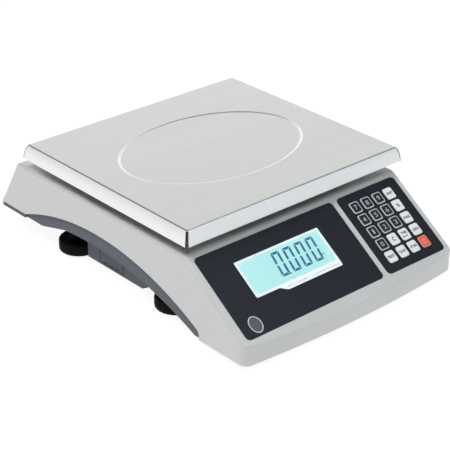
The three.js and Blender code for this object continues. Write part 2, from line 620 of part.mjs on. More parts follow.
place('main_board', box(-MAIN_BOARD.x / 2, MAIN_BOARD.x / 2, MAIN_BOARD.centreY - MAIN_BOARD.y / 2,
  MAIN_BOARD.centreY + MAIN_BOARD.y / 2, MAIN_BOARD.bottom, MAIN_BOARD.bottom + MAIN_BOARD.thick), LOOKS.board);

const panel = new THREE.Group();
panel.applyMatrix4(PANEL);
scale.add(panel);

const displayLabel = panelSolid(labelOutline(LABEL.left, LABEL.split, 0), -LABEL.sheet, 0)
  .subtract(panelSolid(windowOutline(GAP), -5, 5))
  .subtract(levelShaft(LEVEL.holeRadius));
place('display_label', inPanel(displayLabel), LOOKS.slate, panel);
place('display_window', extruded(windowOutline(0), LABEL.sheet).translate(0, 0, -LABEL.sheet),
  LOOKS.clear, panel);
place('lcd_module', extruded(lcdOutline(0), LCD.depth).translate(0, 0, -LCD.front - LCD.depth),
  LOOKS.lcd, panel);
place('display_board', extruded(rectangle(WINDOW.left - 4, WINDOW.right + 4, -WINDOW.bottom - 4,
  -WINDOW.top + 4), 1.6).translate(0, 0, -LCD.front - LCD.depth - GAP - 1.6), LOOKS.board, panel);
const levelWindow = panelSolid(rectangle(LEVEL.x - 12, LEVEL.x + 12, -LEVEL.down - 12, -LEVEL.down + 12),
  -LABEL.sheet, 0).intersect(levelShaft(LEVEL.holeRadius - GAP));
place('level_window', inPanel(levelWindow), LOOKS.clear, panel);
place('level_vial', cylinder(levelPoint.x, levelPoint.y, LEVEL.top - LEVEL.height, LEVEL.top, LEVEL.radius),
  LOOKS.vial);

const keyHoles = [];
KEY_ROWS.forEach((names, row) => names.forEach((name, column) => {
  const { x, y } = keyPlace(column, row);
  keyHoles.push(panelSolid(keyOutline(x, y, GAP), -5, 5));
  const digit = /^key_\d$/.test(name);
  const look = name === 'key_power' ? LOOKS.powerKey : LOOKS[digit ? 'blackKey' : 'whiteKey'];
  const key = place(name, extruded(keyOutline(0, 0, 0), KEY.thick), look, panel);
  key.position.set(x, y, KEY.proud - KEY.thick);
}));
const keypadLabel = cut(panelSolid(labelOutline(rightLabelLeft, LABEL.right, 0), -LABEL.sheet, 0), keyHoles);
place('keypad_label', inPanel(keypadLabel), LOOKS.slate, panel);
const keyboardTop = KEY.proud - KEY.thick - KEY.travel - GAP;
place('keypad_board', extruded(keypadWell(0), 1.6).translate(0, 0, keyboardTop - 1.6), LOOKS.board, panel);

for (const [name, x, y] of footPlaces()) {
  place(`foot_wheel_${name}`, footWheel(x, y), LOOKS.blackPlastic);
  place(`foot_stud_${name}`, cylinder(x, y, FOOT.padTop + 2 + GAP, FOOT.studTop, FOOT.studRadius, 24), LOOKS.steel);
  place(`foot_pad_${name}`, cylinder(x, y, 0, FOOT.padTop, FOOT.padRadius), LOOKS.rubber);
}
for (const { name, x, end } of screwPlaces()) place(`case_screw_${name}`, caseScrew(x, end), LOOKS.steel);

export default scale;
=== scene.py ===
"""Looks of a counting scale: moulded case, stainless platter, backlit display, keypad and feet.

Every length below is in millimetres; meshes are written in metres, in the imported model's frame.
"""
import math
import random

import bmesh
import bpy
from mathutils import Matrix, Vector


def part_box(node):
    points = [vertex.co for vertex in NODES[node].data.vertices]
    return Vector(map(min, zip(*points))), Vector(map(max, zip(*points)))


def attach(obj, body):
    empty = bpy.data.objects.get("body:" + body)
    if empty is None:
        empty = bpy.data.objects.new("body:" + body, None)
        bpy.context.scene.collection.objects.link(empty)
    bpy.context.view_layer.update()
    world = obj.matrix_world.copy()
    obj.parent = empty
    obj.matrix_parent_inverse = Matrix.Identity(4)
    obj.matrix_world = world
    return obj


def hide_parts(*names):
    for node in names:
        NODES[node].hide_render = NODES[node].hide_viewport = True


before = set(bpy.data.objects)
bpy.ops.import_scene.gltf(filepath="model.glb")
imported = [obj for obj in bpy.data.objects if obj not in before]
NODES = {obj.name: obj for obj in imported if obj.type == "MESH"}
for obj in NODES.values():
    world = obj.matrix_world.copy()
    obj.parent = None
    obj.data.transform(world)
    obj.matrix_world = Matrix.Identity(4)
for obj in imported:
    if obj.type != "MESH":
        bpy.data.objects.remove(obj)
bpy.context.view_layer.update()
MM = 0.001
random.seed(7)


def box_mm(node):
    """The node's lowest and highest corners, in millimetres."""
    low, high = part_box(node)
    return low / MM, high / MM


# ------------------------------------------------------------------ sizes taken from the frame
CASE_LOW, CASE_HIGH = box_mm("top_cover")
LABEL_LOW, LABEL_HIGH = box_mm("display_label")
PLATTER_LOW, PLATTER_HIGH = box_mm("platter")
KEYPAD_LOW, KEYPAD_HIGH = box_mm("keypad_label")
WINDOW_LOW, WINDOW_HIGH = box_mm("display_window")

SLOPE = math.radians(34.5)
LABEL_SHEET = 0.7
WALL = 2.5
GAP = 0.3

LEVEL = (-121.4, -85.0)  # the spirit level's hole, in the panel's frame
LEVEL_RADIUS = 7.5

# The panel's frame: x across, v up the slope from the labels' top edge, n out of the panel.
PANEL_Y = LABEL_HIGH.y - LABEL_SHEET * math.sin(SLOPE)
PANEL_Z = LABEL_HIGH.z
LABEL_HEIGHT = 97.0


def panel_place(point):
    """The x and v of a point in the panel's frame."""
    return point.x, (point.y - PANEL_Y) * math.cos(SLOPE) + (point.z - PANEL_Z) * math.sin(SLOPE)


def on_panel(x, v, n=0.0):
    """A point of the panel's frame, in millimetres of the row's frame."""
    y = PANEL_Y + v * math.cos(SLOPE) - n * math.sin(SLOPE)
    z = PANEL_Z + v * math.sin(SLOPE) + n * math.cos(SLOPE)
    return Vector((x, y, z))


# ------------------------------------------------------------------ camera, light and floor
def add_camera():
    """A long lens from the front left, at the photograph's viewing angle."""
    azimuth, elevation, roll = (math.radians(a) for a in (-41.626, 27.533, 0.218))
    target = Vector((-36.6, -44.0, 60.0))
    distance = 1552.1
    back = Vector((math.sin(azimuth) * math.cos(elevation), -math.cos(azimuth) * math.cos(elevation),
                   math.sin(elevation)))
    right = Vector((0, 0, 1)).cross(back).normalized()
    up = back.cross(right)
    level = Matrix((right, up, back)).transposed()
    camera = bpy.data.cameras.new("camera")
    camera.lens = 119.7
    camera.sensor_width = 36
    camera.clip_end = 50
    rig = bpy.data.objects.new("camera", camera)
    bpy.context.scene.collection.objects.link(rig)
    turned = level @ Matrix.Rotation(roll, 3, "Z")
    rig.matrix_world = Matrix.Translation((target + back * distance) * MM) @ turned.to_4x4()
    bpy.context.scene.camera = rig


def add_light(name, size, energy, place, aim, colour=(1, 1, 1)):
    """A rectangular lamp; sizes and places in metres, energy in watts."""
    lamp = bpy.data.lights.new(name, "AREA")
    lamp.shape = "RECTANGLE"
    lamp.size, lamp.size_y = size
    lamp.energy = energy
    lamp.color = colour
    rig = bpy.data.objects.new(name, lamp)
    bpy.context.scene.collection.objects.link(rig)
    rig.location = place
    rig.rotation_mode = "QUATERNION"
    rig.rotation_quaternion = (Vector(aim) - Vector(place)).to_track_quat("-Z", "Y")


def add_world():
    """A sky that is bright at the horizon, dark overhead and dimmed towards the front left."""
    world = bpy.data.worlds.new("studio")
    bpy.context.scene.world = world
    world.use_nodes = True
    nodes, link = world.node_tree.nodes, world.node_tree.links.new
    background = nodes["Background"]
    place = nodes.new("ShaderNodeTexCoord").outputs["Generated"]
    split = nodes.new("ShaderNodeSeparateXYZ")
    sky = nodes.new("ShaderNodeValToRGB")
    link(place, split.inputs[0])
    link(split.outputs["Z"], sky.inputs[0])
    link(sky.outputs[0], background.inputs["Color"])
    horizon, zenith = sky.color_ramp.elements
    horizon.position, horizon.color = 0.02, (0.8, 0.82, 0.85, 1)
    zenith.position, zenith.color = 1.0, (0.08, 0.085, 0.095, 1)
    sky.color_ramp.elements.new(0.25).color = (0.22, 0.225, 0.24, 1)
    toward = nodes.new("ShaderNodeVectorMath")
    toward.operation = "DOT_PRODUCT"
    toward.inputs[1].default_value = (-0.66, -0.75, 0)
    link(place, toward.inputs[0])
    dimmer = nodes.new("ShaderNodeMapRange")
    for socket, value in (("From Min", 0.1), ("From Max", 0.8), ("To Min", 1.0), ("To Max", 0.15)):
        dimmer.inputs[socket].default_value = value
    link(toward.outputs["Value"], dimmer.inputs["Value"])
    link(dimmer.outputs["Result"], background.inputs["Strength"])


def add_floor():
    """A white floor that glows, so the object throws hardly any shadow on it."""
    mesh = bpy.data.meshes.new("floor")
    reach = 6.0
    corners = [(-reach, -reach, 0), (reach, -reach, 0), (reach, reach, 0), (-reach, reach, 0)]
    mesh.from_pydata(corners, [], [(0, 1, 2, 3)])
    floor = bpy.data.objects.new("floor", mesh)
    bpy.context.scene.collection.objects.link(floor)
    floor.location.z = -0.0002
    paint = Paint("floor_paint", (0.2, 0.2, 0.2), 0.9, Emission_Color=(1, 1, 1, 1), Emission_Strength=0.9)
    mesh.materials.append(paint.material)


def add_studio():
    bpy.context.scene.view_settings.view_transform = "Standard"
    add_world()
    add_light("key_light", (0.8, 0.8), 28, (-1.15, -0.05, 2.05), (0, 0, 0))
    add_light("front_light", (1.2, 0.9), 20, (0.75, -1.5, 2.15), (0, 0, 0), (0.88, 0.95, 1))
    add_light("top_light", (1.6, 1.6), 1, (0.1, -0.4, 2.2), (0, 0, 0))
    add_light("back_light", (2.6, 1.5), 16, (1.35, 1.75, 1.15), (0, 0, 0.1))
    add_floor()


# ------------------------------------------------------------------ materials
class Paint:
    """A Principled material with its node tree at hand."""

    def __init__(self, name, colour, roughness, metallic=0.0, **sockets):
        self.material = bpy.data.materials.new(name)
        self.material.use_nodes = True
        self.tree = self.material.node_tree
        self.shader = self.tree.nodes["Principled BSDF"]
        self.shader.inputs["Base Color"].default_value = (*colour, 1)
        self.shader.inputs["Roughness"].default_value = roughness
        self.shader.inputs["Metallic"].default_value = metallic
        for socket, value in sockets.items():
            self.shader.inputs[socket.replace("_", " ")].default_value = value
        self.colour = colour

    def node(self, kind, **inputs):
        made = self.tree.nodes.new(kind)
        for key, value in inputs.items():
            made.inputs[key.replace("_", " ")].default_value = value
        return made

    def link(self, source, target):
        self.tree.links.new(source, target)

    def coordinates(self, stretch=(1, 1, 1)):
        place = self.node("ShaderNodeTexCoord")
        mapping = self.node("ShaderNodeMapping")
        mapping.inputs["Scale"].default_value = stretch
        self.link(place.outputs["Object"], mapping.inputs["Vector"])
        return mapping.outputs["Vector"]

    def noise(self, size_mm, detail=2.0, stretch=(1, 1, 1)):
        """Noise whose features are about size_mm across."""
        made = self.node("ShaderNodeTexNoise", Scale=1 / (size_mm * MM), Detail=detail)
        self.link(self.coordinates(stretch), made.inputs["Vector"])
        return made.outputs["Fac"]

    def vary_colour(self, factor, darker, lighter):
        """Mixes the base colour between two brightnesses."""
        ramp = self.node("ShaderNodeMix")
        ramp.data_type = "RGBA"
        ramp.inputs[6].default_value = (*[c * darker for c in self.colour], 1)
        ramp.inputs[7].default_value = (*[min(1, c * lighter) for c in self.colour], 1)
        self.link(factor, ramp.inputs[0])
        self.link(ramp.outputs[2], self.shader.inputs["Base Color"])
        return self

    def vary_roughness(self, factor, low, high):
        span = self.node("ShaderNodeMapRange")
        span.inputs["To Min"].default_value = low
        span.inputs["To Max"].default_value = high
        self.link(factor, span.inputs["Value"])
        self.link(span.outputs["Result"], self.shader.inputs["Roughness"])
        return self

    def bump(self, factor, depth_mm, strength=1.0):
        made = self.node("ShaderNodeBump", Strength=strength, Distance=depth_mm * MM)
        self.link(factor, made.inputs["Height"])
        self.link(made.outputs["Normal"], self.shader.inputs["Normal"])
        return self


def linear(*screen):
    """A screen colour, 0 to 255, as the shader's linear colour."""
    return tuple(((c / 255 + 0.055) / 1.055) ** 2.4 if c > 10 else c / 255 / 12.92 for c in screen)


def moulded(name, colour, roughness=0.5, grain_mm=0.5, depth_mm=0.012, shine=0.4):
    """Plastic or rubber with a fine moulded grain."""
    paint = Paint(name, colour, roughness, Specular_IOR_Level=shine)
    broad = paint.noise(60, 3)
    paint.vary_colour(broad, 0.97, 1.03)
    fine = paint.noise(grain_mm, 3)
    paint.vary_roughness(paint.noise(grain_mm * 2.5), roughness - 0.06, roughness + 0.08)
    paint.bump(fine, depth_mm)
    return paint.material


def brushed(name, colour, roughness, along, metallic=1.0):
    """Sheet metal with fine hairlines that run along one axis."""
    paint = Paint(name, colour, roughness, metallic)
    across = [1.0, 1.0, 1.0]
    across["xyz".index(along)] = 0.012
    hair = paint.noise(0.45, 4, across)
    paint.vary_colour(hair, 0.955, 1.045)
    broad = paint.noise(3.5, 2, across)
    paint.vary_roughness(broad, roughness - 0.05, roughness + 0.07)
    paint.bump(hair, 0.006)
    return paint.material


def film(name, colour, roughness=0.42, shine=0.5):
    """A smooth printed film or ink."""
    paint = Paint(name, colour, roughness, Specular_IOR_Level=shine)
    paint.vary_colour(paint.noise(25, 2), 0.96, 1.05)
    paint.vary_roughness(paint.noise(0.8, 2), roughness - 0.04, roughness + 0.05)
    paint.bump(paint.noise(0.35, 2), 0.004)
    return paint.material


def glowing(name, colour, strength, roughness=0.4):
    """A surface that gives off light, as a Paint that can still be varied: the backlit display, and the
    display's white surround, whose glow is painted light.
    """
    paint = Paint(name, colour, roughness, Emission_Strength=strength)
    paint.shader.inputs["Emission Color"].default_value = (*colour, 1)
    return paint


LOOKS = {}


def make_materials():
    looks = LOOKS
    looks["case"] = moulded("case_grey", linear(211, 212, 210), 0.38, shine=0.6)
    looks["base"] = moulded("base_grey", linear(102, 107, 114), 0.55, shine=0.1)
    looks["stainless_top"] = brushed("stainless_top", linear(214, 215, 211), 0.48, "x", 0.78)
    # painted reflection: the skirts' steel is nearly plain white paint with little metal, so the bright
    # studio it would mirror is painted into its colour
    looks["stainless_edge_painted_reflection"] = brushed("stainless_edge_painted_reflection", linear(255, 255, 255), 0.42, "x", 0.2)
    looks["stainless_side_painted_reflection"] = brushed("stainless_side_painted_reflection", linear(255, 255, 255), 0.42, "y", 0.25)
    looks["label"] = film("label_slate", linear(29, 33, 42), shine=0.25)
    looks["label_glass"] = film("level_glass", linear(92, 95, 105), 0.22)
    looks["print_white"] = film("print_white", linear(240, 240, 240), 0.4)
    looks["print_light"] = film("print_light", linear(214, 216, 220), 0.4)
    looks["print_dark"] = film("print_dark", linear(34, 36, 42), 0.5)
    looks["print_pink"] = film("print_warm_grey", linear(168, 158, 168), 0.5)
    looks["key_rim"] = film("key_rim", linear(206, 209, 214), 0.4)
    looks["key_black"] = film("key_black", linear(20, 22, 28), 0.36)
    looks["key_white"] = film("key_white", linear(250, 250, 250), 0.36)
    looks["key_red"] = film("key_red", linear(255, 98, 76), 0.36)
    looks["key_red_rim"] = film("key_red_rim", linear(255, 150, 132), 0.36)
    # painted shade: a darker copy of the steel on the skirts' folds, where the bend looks dark
    looks["stainless_bend_painted_shade"] = brushed("stainless_bend_painted_shade", linear(178, 178, 175), 0.35, "x", 0.9)
    # painted highlight: a lighter, glossier copy of the top's steel on the pressed oval's slope, where
    # the step looks bright
    looks["stainless_press_painted_highlight"] = brushed("stainless_press_painted_highlight", linear(224, 224, 220), 0.36, "x", 0.85)
    # painted shade: dark grey on the skirts' faces beside each corner slit, where the gap looks dark
    looks["slit"] = moulded("corner_slit_painted_shade", linear(60, 60, 60), 0.6)
    # painted light: the display's white surround glows, though it is no lamp, so that it looks brightly
    # lit
    looks["bezel"] = glowing("display_bezel", linear(232, 240, 242), 0.55).material
    looks["seam"] = film("seam_dark", linear(14, 15, 19), 0.8)
    looks["bubble"] = film("bubble", linear(150, 160, 150), 0.15)
    looks["black"] = moulded("black_plastic", linear(4, 4, 6), 0.6, 0.4, 0.01, 0.1)
    looks["rubber"] = moulded("rubber", linear(34, 34, 35), 0.85, 0.3, 0.02)
    looks["aluminium"] = brushed("aluminium", linear(188, 190, 194), 0.4, "x")
    looks["zinc"] = brushed("zinc_steel", linear(160, 162, 166), 0.38, "z")
    looks["board"] = moulded("circuit_board", linear(28, 88, 60), 0.4, 1.5, 0.02)
    looks["battery"] = moulded("battery_wrap", linear(38, 70, 140), 0.3, 8, 0.03)
    lcd = glowing("lcd_glow", linear(168, 217, 216), 0.54)
    lcd.vary_colour(lcd.noise(40, 1), 0.96, 1.04)
    looks["lcd"] = lcd.material
    segment = Paint("lcd_segment", linear(44, 118, 165), 0.4, Emission_Strength=0.16)
    segment.shader.inputs["Emission Color"].default_value = (*linear(50, 130, 175), 1)
    segment.vary_roughness(segment.noise(0.5), 0.36, 0.44)
    looks["segment"] = segment.material
    faint = Paint("lcd_faint", linear(120, 196, 205), 0.4, Emission_Strength=0.3)
    faint.shader.inputs["Emission Color"].default_value = (*linear(120, 196, 205), 1)
    looks["faint"] = faint.material
    clear = Paint("clear_window", (1, 1, 1), 0.06, Transmission_Weight=1.0, IOR=1.18)
    clear.vary_roughness(clear.noise(12), 0.03, 0.08)
    looks["clear"] = clear.material
    fluid = Paint("level_fluid", linear(150, 156, 120), 0.1, Transmission_Weight=0.4, IOR=1.3)
    fluid.vary_roughness(fluid.noise(4), 0.08, 0.14)
    looks["fluid"] = fluid.material


# ------------------------------------------------------------------ mesh helpers
def new_object(name, mesh, body, looks, sharp=35):
    piece = bpy.data.objects.new(name, mesh)
    bpy.context.scene.collection.objects.link(piece)
    for look in looks if isinstance(looks, (list, tuple)) else [looks]:
        mesh.materials.append(LOOKS[look])
    mesh.shade_smooth()
    mesh.set_sharp_from_angle(angle=math.radians(sharp))
    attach(piece, body)
    return piece


def mesh_of(name, points, faces):
    """A mesh from points in millimetres."""
    mesh = bpy.data.meshes.new(name)
    mesh.from_pydata([Vector(p) * MM for p in points], [], faces)
    mesh.update()
    return mesh


def arc_points(centre, radius, start, end, steps):
    return [(centre[0] + radius * math.cos(start + (end - start) * i / steps),
             centre[1] + radius * math.sin(start + (end - start) * i / steps)) for i in range(steps + 1)]


def rounded(points, radii, steps=8):
    """An anticlockwise outline whose corners are arcs of the given radii."""
    outline = []
    count = len(points)
    for i, point in enumerate(points):
        radius = radii[i] if isinstance(radii, (list, tuple)) else radii
        here = Vector(point)
        if radius <= 0:
            outline.append(tuple(here))
            continue
        before = (Vector(points[i - 1]) - here).normalized()
        after = (Vector(points[(i + 1) % count]) - here).normalized()
        half = math.acos(max(-1, min(1, before.dot(after)))) / 2
        centre = here + (before + after).normalized() * (radius / math.sin(half))
        first = here + before * (radius / math.tan(half)) - centre
        last = here + after * (radius / math.tan(half)) - centre
        start = math.atan2(first.y, first.x)
        sweep = math.atan2(last.y, last.x) - start
        sweep = (sweep + math.pi) % (2 * math.pi) - math.pi
        outline += arc_points(centre, radius, start, start + sweep, steps)
    return outline


def rectangle(x_low, x_high, y_low, y_high, radius=0.0, steps=8):
    return rounded([(x_low, y_low), (x_high, y_low), (x_high, y_high), (x_low, y_high)], radius, steps)


def lofted(rings, cap_first=True, cap_last=True):
    """Points and faces of a skin through rings that all have the same number of points."""
    points = [p for ring in rings for p in ring]
    count = len(rings[0])
    faces = []
    for r in range(len(rings) - 1):
        for k in range(count):
            a, b = r * count + k, r * count + (k + 1) % count
            faces.append((a, b, b + count, a + count))
    if cap_first:
        faces.append(tuple(reversed(range(count))))
    if cap_last:
        faces.append(tuple(range(len(points) - count, len(points))))
    return points, faces


def panel_plate(outline, low, high):
    """A plate in the panel's frame, from height low to height high."""
    rings = [[on_panel(x, v, n) for x, v in outline] for n in (low, high)]
    return lofted(rings)


def merge_parts(parts):
    """Joins several (points, faces) lists into one."""
    points, faces = [], []
    for more_points, more_faces in parts:
        start = len(points)
        points += more_points
        faces += [tuple(i + start for i in face) for face in more_faces]
    return points, faces


def boolean(target, cutters):
    """Cuts the target by closed cutter meshes, leaving a plain mesh behind."""
    for points, faces in cutters:
        cutter = bpy.data.objects.new("cutter", mesh_of("cutter", points, faces))
        bpy.context.scene.collection.objects.link(cutter)
        step = target.modifiers.new("cut", "BOOLEAN")
        step.operation = "DIFFERENCE"
        step.solver = "EXACT"
        step.object = cutter
        apply_modifiers(target)
        bpy.data.objects.remove(cutter)


def apply_modifiers(target):
    bpy.context.view_layer.update()
    graph = bpy.context.evaluated_depsgraph_get()
    done = bpy.data.meshes.new_from_object(target.evaluated_get(graph))
    target.modifiers.clear()
    old = target.data
    target.data = done
    bpy.data.meshes.remove(old)


def finish_surface(piece, sharp=35):
    """Keeps flat faces flat in the shading and sharp edges sharp."""
    piece.data.shade_smooth()
    piece.data.set_sharp_from_angle(angle=math.radians(sharp))
    weighted = piece.modifiers.new("normals", "WEIGHTED_NORMAL")
    weighted.keep_sharp = True
    weighted.weight = 80


# ------------------------------------------------------------------ the case
PLATTER_Y = (PLATTER_LOW.y + PLATTER_HIGH.y) / 2
HALF_WIDTH = CASE_HIGH.x
FRONT = CASE_LOW.y
REAR = CASE_HIGH.y
DECK = CASE_HIGH.z
CASE_BOTTOM = CASE_LOW.z
BOW_RADIUS = 1405.0
FRONT_CORNER, REAR_CORNER = 9.0, 4.0
SIDE_EDGE, FRONT_EDGE, REAR_EDGE = 3.5, 3.0, 2.0
DECK_FRONT_EDGE, DECK_REAR_EDGE = 13.0, 6.0
REAR_BOTTOM = 31.5
REAR_TOP_Y = 170.4
ARCH_Y, ARCH_TOP, ARCH_RADIUS, ARCH_FRONT, ARCH_CORNER = 31.0, 57.5, 330.0, -131.3, 8.0
POST_X, POST_HALF = (29.0, 71.0), 22.0  # hole in the deck round the load cell's top block
LABEL_RECESS = 1.0
LCD_WELL_V = (-60.2, -20.9)
KEYPAD_WELL = (61.4, 130.95, -90.2, -6.4)
REAR_LEAN = math.atan2(DECK - REAR_BOTTOM, REAR - REAR_TOP_Y)


def slope_z(y, inset):
    return PANEL_Z + (y - PANEL_Y) * math.tan(SLOPE) - inset / math.cos(SLOPE)


def rear_z(y, inset):
    return REAR_BOTTOM + (REAR - y) * math.tan(REAR_LEAN) - inset / math.cos(REAR_LEAN)


def roof(inset):
    """The roof line, as a function of y that gives height and steepness."""
    deck = DECK - inset
    front_y = PANEL_Y + (deck - slope_z(PANEL_Y, inset)) / math.tan(SLOPE)
    rear_y = REAR - (deck - rear_z(REAR, inset)) / math.tan(REAR_LEAN)
    front_radius, rear_radius = DECK_FRONT_EDGE - inset, DECK_REAR_EDGE - inset
    front_reach = front_radius * math.tan(SLOPE / 2)
    rear_reach = rear_radius * math.tan(REAR_LEAN / 2)

    def height(y):
        if y < front_y - front_reach * math.cos(SLOPE):
            return slope_z(y, inset), math.tan(SLOPE)
        if y < front_y + front_reach:
            across = front_y + front_reach - y
            drop = front_radius - math.sqrt(front_radius ** 2 - across ** 2)
            return deck - drop, across / math.sqrt(front_radius ** 2 - across ** 2)
        if y < rear_y - rear_reach:
            return deck, 0.0
        if y < rear_y + rear_reach * math.cos(REAR_LEAN):
            across = y - (rear_y - rear_reach)
            drop = rear_radius - math.sqrt(rear_radius ** 2 - across ** 2)
            return deck - drop, -across / math.sqrt(rear_radius ** 2 - across ** 2)
        return rear_z(y, inset), -math.tan(REAR_LEAN)

    breaks = (front_y - front_reach * math.cos(SLOPE), front_y + front_reach,
              rear_y - rear_reach, rear_y + rear_reach * math.cos(REAR_LEAN))
    return height, breaks


def half_outline(inset, breaks):
    """The right half of the plan outline, rear middle to front middle, as x, y and outward normal."""
    side, rear = HALF_WIDTH - inset, REAR - inset
    rear_corner, front_corner = REAR_CORNER - min(inset, 2), FRONT_CORNER - inset
    bow_y = FRONT + BOW_RADIUS
    bow = BOW_RADIUS - inset
    corner_x = side - front_corner
    corner_y = bow_y - math.sqrt((bow - front_corner) ** 2 - corner_x ** 2)
    points = [(x, rear, 0, 1) for x in (0.0, side * 0.5)]
    for i in range(9):
        angle = math.pi / 2 * (1 - i / 8)
        nx, ny = math.cos(angle), math.sin(angle)
        points.append((side + rear_corner * (nx - 1), rear + rear_corner * (ny - 1), nx, ny))
    slope_end, deck_front, deck_rear, rear_start = breaks
    heights = [rear_start + (deck_rear - rear_start) * i / 10 for i in range(11)]
    heights += [deck_rear + (deck_front - deck_rear) * i / 4 for i in range(1, 4)]
    heights += [deck_front + (slope_end - deck_front) * i / 14 for i in range(15)]
    heights += [slope_end + (corner_y - slope_end) * i / 3 for i in range(1, 3)]
    points += [(side, y, 1, 0) for y in heights]
    end = math.atan2(corner_y - bow_y, corner_x)
    for i in range(13):
        angle = end * i / 12
        nx, ny = math.cos(angle), math.sin(angle)
        points.append((corner_x + front_corner * nx, corner_y + front_corner * ny, nx, ny))
    steps = 24
    for i in range(1, steps + 1):
        angle = end + (-math.pi / 2 - end) * i / steps
        points.append((bow * math.cos(angle) if i < steps else 0.0, bow_y + bow * math.sin(angle),
                       math.cos(angle), math.sin(angle)))
    first_side = 2 + 9
    return points, first_side, first_side + len(heights)


def case_solid(inset, floor):
    """The closed outer form of the case, moved inwards by inset."""
    height, breaks = roof(inset)
    right, first_side, last_side = half_outline(inset, breaks)
    left = [(-x, y, -nx, ny) for x, y, nx, ny in reversed(right[1:-1])]
    outline = right + left
    steps = 8
    rings = [[] for _ in range(steps + 1)]
    for x, y, nx, ny in outline:
        corner, steep = height(y)
        rise = -steep * ny
        slant = math.sqrt(1 + (steep * nx) ** 2)
        if ny < 0:
            blend = min(1, -ny * 1.4)
            radius = SIDE_EDGE + (FRONT_EDGE - SIDE_EDGE) * blend * blend * (3 - 2 * blend) - inset * 0.9
        else:
            radius = SIDE_EDGE + (REAR_EDGE - SIDE_EDGE) * ny - inset * (1 - 0.8 * ny)
        radius = max(0.3, radius)
        turn = math.pi / 2 - math.atan(rise)
        reach = radius * math.tan(turn / 2)
        for k in range(steps + 1):
            angle = turn * k / steps
            inward = radius * (1 - math.cos(angle))
            z = corner + rise * inward - slant * (rise * inward + reach - radius * math.sin(angle))
            rings[k].append((x - nx * inward, y - ny * inward, z))
    count = len(outline)
    skirt = [(x, y, floor) for x, y, _, _ in outline]
    points, faces = lofted([skirt] + rings, cap_last=False)
    faces = [tuple(reversed(face)) for face in faces]
    top = (steps + 1) * count

    def mirror(i):
        return (count - i) % count

    for i in range(first_side, last_side - 1):
        faces.append((top + i, top + mirror(i), top + mirror(i + 1), top + i + 1))
    faces.append(tuple(top + i % count for i in range(mirror(first_side), count + first_side + 1)))
    faces.append(tuple(top + i for i in range(last_side - 1, mirror(last_side - 1) + 1)))
    return points, faces


def extruded_x(outline, x_low, x_high):
    """A closed solid from an outline in y and z."""
    return lofted([[(x_low, y, z) for y, z in outline], [(x_high, y, z) for y, z in outline]])


def arch_end():
    return ARCH_Y + math.sqrt(ARCH_RADIUS ** 2 - (ARCH_RADIUS - ARCH_TOP + REAR_BOTTOM) ** 2)


def arch_outline():
    below, beyond = -30.0, REAR + 40
    end = arch_end()
    points, radii = [(beyond, REAR_BOTTOM), (end, REAR_BOTTOM)], [0, 0]
    steps = 60
    for i in range(1, steps + 1):
        y = end + (ARCH_FRONT - end) * i / steps
        points.append((y, ARCH_TOP - ARCH_RADIUS + math.sqrt(ARCH_RADIUS ** 2 - (y - ARCH_Y) ** 2)))
        radii.append(ARCH_CORNER if i == steps else 0)
    points += [(ARCH_FRONT, below), (beyond, below)]
    radii += [0, 0]
    return rounded(points, radii, 10)


def label_outline(left, right, grow=0.0):
    return rectangle(left - grow, right + grow, -LABEL_HEIGHT - grow, grow, 5 + grow, 10)


def make_cover():
    """The case's shell with its side arches, label recesses and openings cut out."""
    points, faces = case_solid(0, CASE_BOTTOM)
    mesh = mesh_of("top_cover_shell", points, faces)
    piece = new_object("top_cover_shell", mesh, "case", "case")
    centre = on_panel(*LEVEL)
    circle = arc_points((centre.x, centre.y), LEVEL_RADIUS, 0, math.tau, 48)[:-1]
    post = rectangle(*POST_X, PLATTER_Y - POST_HALF, PLATTER_Y + POST_HALF, 4)
    boolean(piece, [
        case_solid(WALL, CASE_BOTTOM - 10),
        extruded_x(arch_outline(), -HALF_WIDTH - 5, HALF_WIDTH + 5),
        panel_plate(label_outline(LABEL_LOW.x, LABEL_HIGH.x, GAP), -LABEL_RECESS, 5),
        panel_plate(label_outline(KEYPAD_LOW.x, KEYPAD_HIGH.x, GAP), -LABEL_RECESS, 5),
        panel_plate(rectangle(WINDOW_LOW.x + 1.4, WINDOW_HIGH.x - 1.4, *LCD_WELL_V), -20, 5),
        panel_plate(rectangle(*KEYPAD_WELL, 2), -20, 5),
        lofted([[(x, y, z) for x, y in circle] for z in (0, DECK)]),
        lofted([[(x, y, z) for x, y in post] for z in (DECK - 8, DECK + 5)]),
    ])
    finish_surface(piece)
    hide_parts("top_cover")


# ------------------------------------------------------------------ the platter
SKIRT = [(0, 0), (0.35, 0.12), (0.75, 0.4), (1.1, 0.78), (1.4, 1.3), (2.3, 2.7), (3.3, 4.6), (4.1, 7.0),
         (4.7, 9.4), (5.15, 11.6), (5.4, 13.6), (5.5, 15.6)]
RECESS = 0.8
SHEET = 1.2
TOP = PLATTER_HIGH.z
TOP_HALF_X = PLATTER_HIGH.x - SKIRT[-1][0]
TOP_HALF_Y = (PLATTER_HIGH.y - PLATTER_LOW.y) / 2 - SKIRT[-1][0]
OVAL_X, OVAL_Y, OVAL_SLOPE = 109.3, 76.8, 3.0
# the skirt rows round the fold, which also take the darker steel of painted shade
BEND_ROWS = 3


